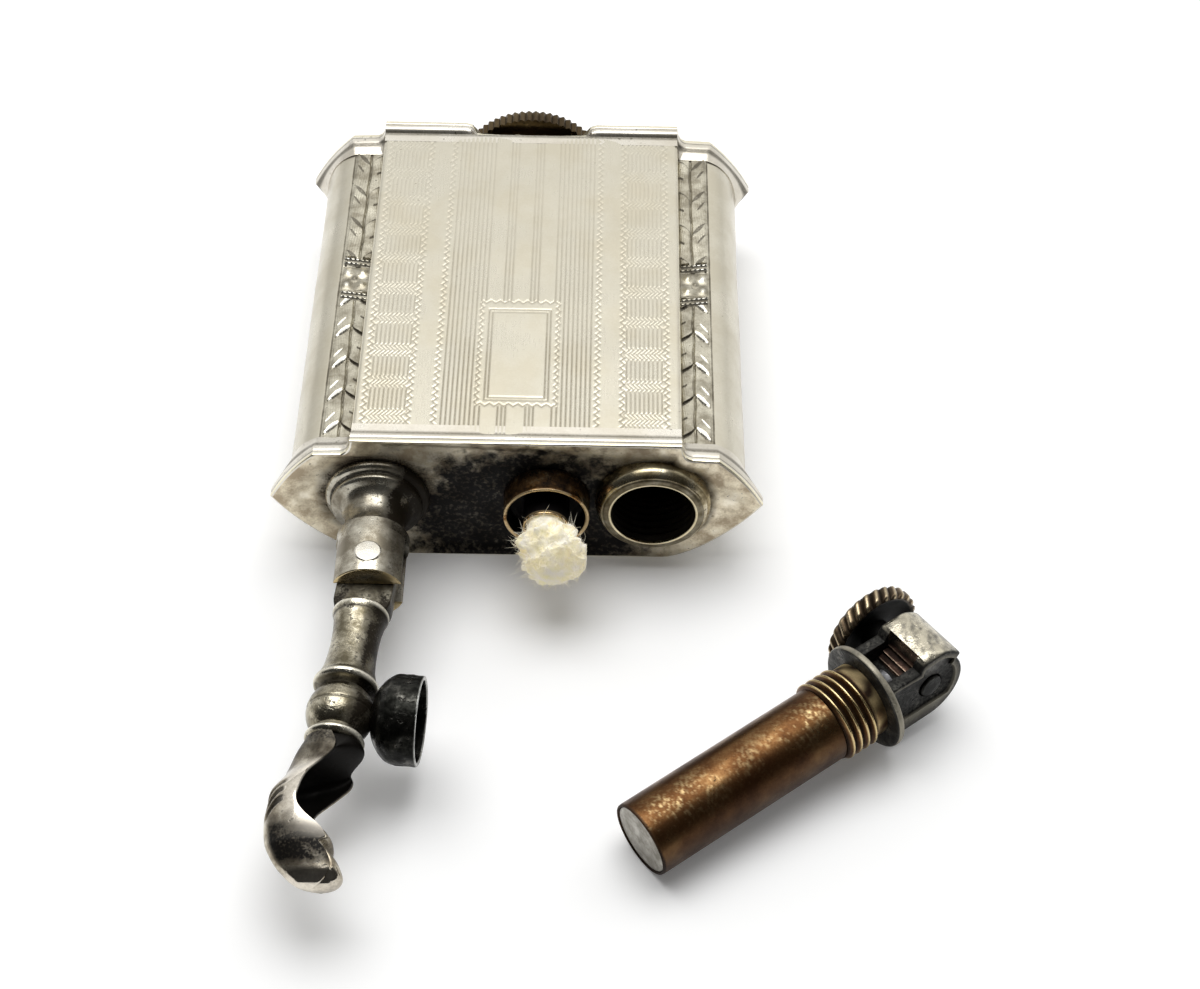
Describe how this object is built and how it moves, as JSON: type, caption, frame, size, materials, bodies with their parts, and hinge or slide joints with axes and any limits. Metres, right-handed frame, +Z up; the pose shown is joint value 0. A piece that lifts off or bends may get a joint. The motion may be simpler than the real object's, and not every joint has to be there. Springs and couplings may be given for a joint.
{
  "type": "pocket lighter",
  "caption": "Pocket petrol lighter with a swinging lift arm and snuffer, a wick, and a striker unit that screws out; it lies on its back with the striker unit beside it.",
  "frame": {"origin": "middle of the flat back of the case, which lies on the table", "axes": "+X across the case towards the striker socket, +Y from the top of the case to its base, +Z up through its thickness, out of the engraved front"},
  "size_m": [0.0577, 0.0825, 0.0142],
  "materials": {
    "worn_nickel": "worn nickel plate over brass, fine engraving, satin",
    "dark_nickel": "tarnished nickel plate, polished on its high spots",
    "old_brass": "brown tarnished brass, rubbed bright in streaks",
    "bare_brass": "bare turned brass",
    "blackened_cup": "heat-blackened nickel, nearly matte",
    "steel": "plain steel",
    "file_steel": "hardened cut steel, brown with spark dust",
    "cotton": "frayed cotton",
    "leather": "oiled leather washer",
    "flint": "ground ferrocerium"
  },
  "bodies": {
    "case": {"case_shell": "worn_nickel", "top_plate": "worn_nickel", "base_plate": "worn_nickel", "striker_socket": "dark_nickel", "striker_well": "bare_brass", "wick_guard": "old_brass", "wick_tube": "bare_brass", "wick": "cotton", "cotton_packing": "cotton", "arm_post": "dark_nickel", "hinge_pin": "worn_nickel", "arm_spring": "steel", "filler_bush": "bare_brass"},
    "lift_arm": {"lift_arm": "dark_nickel", "thumb_leaf": "dark_nickel", "snuffer_cup": "blackened_cup", "snuffer_stud": "blackened_cup"},
    "striker_unit": {"flint_tube": "old_brass", "tube_end_plug": "steel", "thread_collar": "old_brass", "wheel_housing": "dark_nickel", "flint_spring": "steel"},
    "spark_wheel": {"striker_wheel": "file_steel", "thumb_wheel": "old_brass", "wheel_axle": "steel"},
    "flint_feed": {"flint": "flint", "flint_plunger": "bare_brass"},
    "filler_washer": {"filler_washer": "leather"},
    "filler_screw": {"filler_screw": "dark_nickel"}
  },
  "joints": [
    {"name": "arm_hinge", "type": "hinge", "parent": "case", "child": "lift_arm", "pos_m": [-0.01185, -0.02925, 0.0071], "axis": [0, 0, 1], "range_deg": [0, 94.8], "deforming": ["arm_spring", "wick"]},
    {"name": "striker_swing", "type": "hinge", "parent": "case", "child": "striker_unit", "pos_m": [0.01027, -0.0555, 0.00452], "axis": [0.7016, -0.3314, -0.6308], "range_deg": [0, 141.48]},
    {"name": "wheel_spin", "type": "hinge", "parent": "striker_unit", "child": "spark_wheel", "pos_m": [0.03264, -0.03619, 0.0049], "axis": [-0.5824, 0.8096, -0.0731], "continuous": true},
    {"name": "flint_press", "type": "slide", "parent": "striker_unit", "child": "flint_feed", "axis": [-0.8073, -0.5866, -0.0643], "range_m": [0, 0.0012], "stiffness_N_per_m": 150, "springref_m": -0.004, "deforming": ["flint_spring"]},
    {"name": "filler_lift", "type": "slide", "parent": "case", "child": "filler_washer", "axis": [0, 1, 0], "range_m": [0, 0.004]},
    {"name": "filler_turn", "type": "hinge", "parent": "filler_washer", "child": "filler_screw", "pos_m": [0, 0.02085, 0.0071], "axis": [0, 1, 0], "range_deg": [0, 1800]}
  ],
  "couplings": [
    {"joint": "filler_turn", "follows": "filler_lift", "rad_per_m": 7854}
  ]
}
